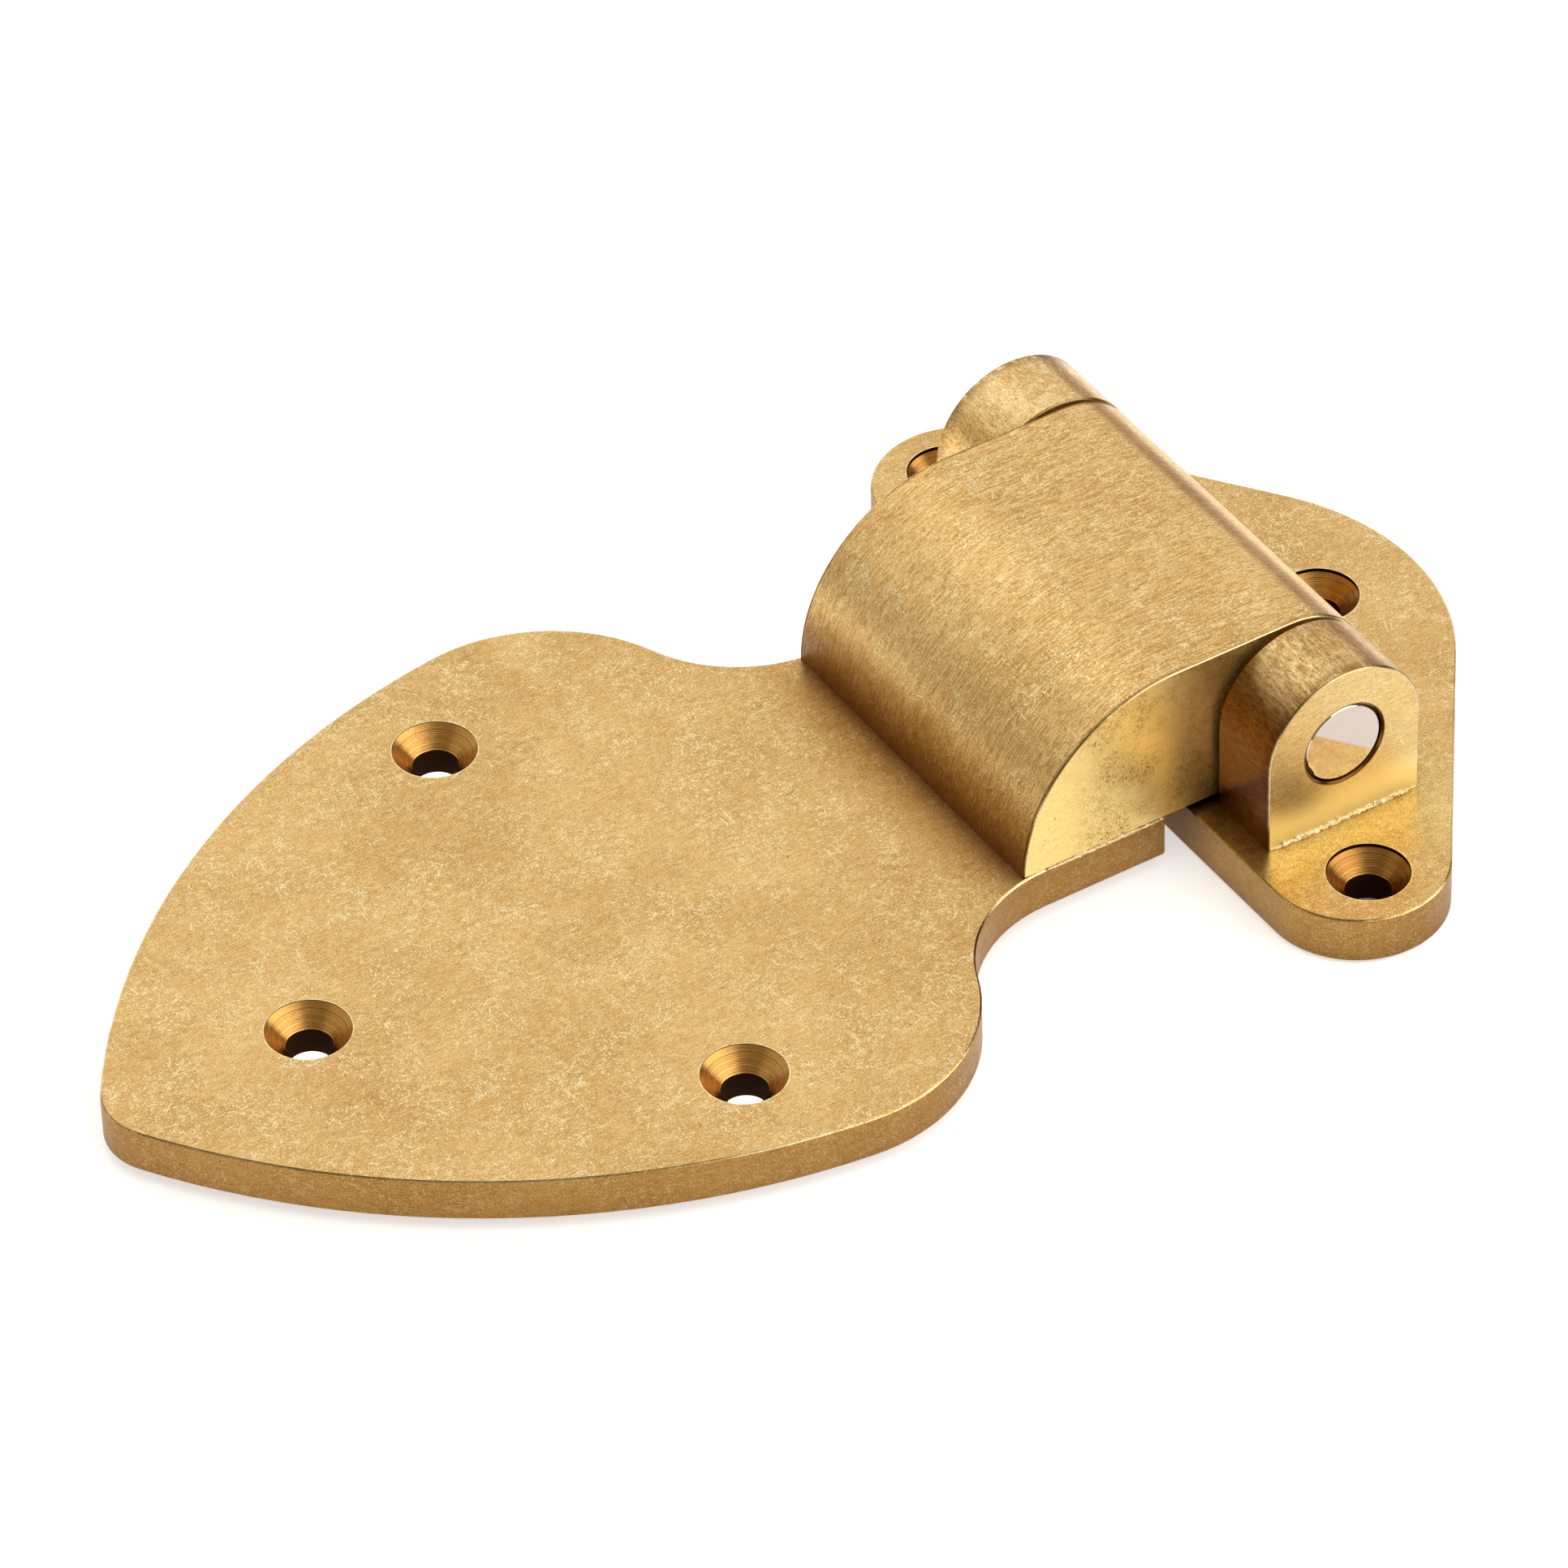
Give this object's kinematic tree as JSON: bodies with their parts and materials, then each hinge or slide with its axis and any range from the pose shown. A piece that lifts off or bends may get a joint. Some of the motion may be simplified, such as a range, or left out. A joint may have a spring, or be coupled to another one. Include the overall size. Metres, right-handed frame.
{
  "type": "door hinge",
  "caption": "Surface-mounted strap hinge: spade-shaped door leaf with a solid knuckle block on a steel pin, held between lugs on a rounded triangular frame leaf.",
  "frame": {"origin": "on the frame leaf's back face, straight below the middle of the hinge pin", "axes": "+X from the door leaf to the frame leaf, +Y along the pin, +Z off the mounting faces"},
  "size_m": [0.1689, 0.0992, 0.0267],
  "materials": {
    "leaf_brass": "brushed, aged and mottled",
    "block_brass": "brushed, aged, with dark pitting on its end faces",
    "lug_brass": "fine brushed, rubbed bright on the outer faces",
    "pin_steel": "mirror-polished stainless steel",
    "bush_bronze": "bored bronze",
    "washer_bronze": "flat ground bronze",
    "screw_brass": "turned",
    "set_screw_steel": "dark, machined",
    "solder": "bright, rough silver-solder bead"
  },
  "bodies": {
    "frame_side": {"frame_leaf": "leaf_brass", "pin_lug_near": "lug_brass", "pin_lug_far": "lug_brass", "hinge_pin": "pin_steel", "pin_set_screw_near": "set_screw_steel", "pin_set_screw_far": "set_screw_steel", "lug_screw_near_left": "screw_brass", "lug_screw_near_right": "screw_brass", "lug_screw_far_left": "screw_brass", "lug_screw_far_right": "screw_brass", "solder_fillet_near": "solder", "solder_fillet_far": "solder"},
    "door_side": {"door_leaf": "leaf_brass", "knuckle_block": "block_brass", "bush_near": "bush_bronze", "bush_far": "bush_bronze", "thrust_washer_near": "washer_bronze", "thrust_washer_far": "washer_bronze", "block_screw_outer_near": "screw_brass", "block_screw_outer_far": "screw_brass", "block_screw_inner_near": "screw_brass", "block_screw_inner_far": "screw_brass"}
  },
  "joints": [
    {"name": "door_swing", "type": "hinge", "parent": "frame_side", "child": "door_side", "pos_m": [0, 0, 0.0167], "axis": [0, 1, 0], "range_deg": [-2, 180]}
  ]
}
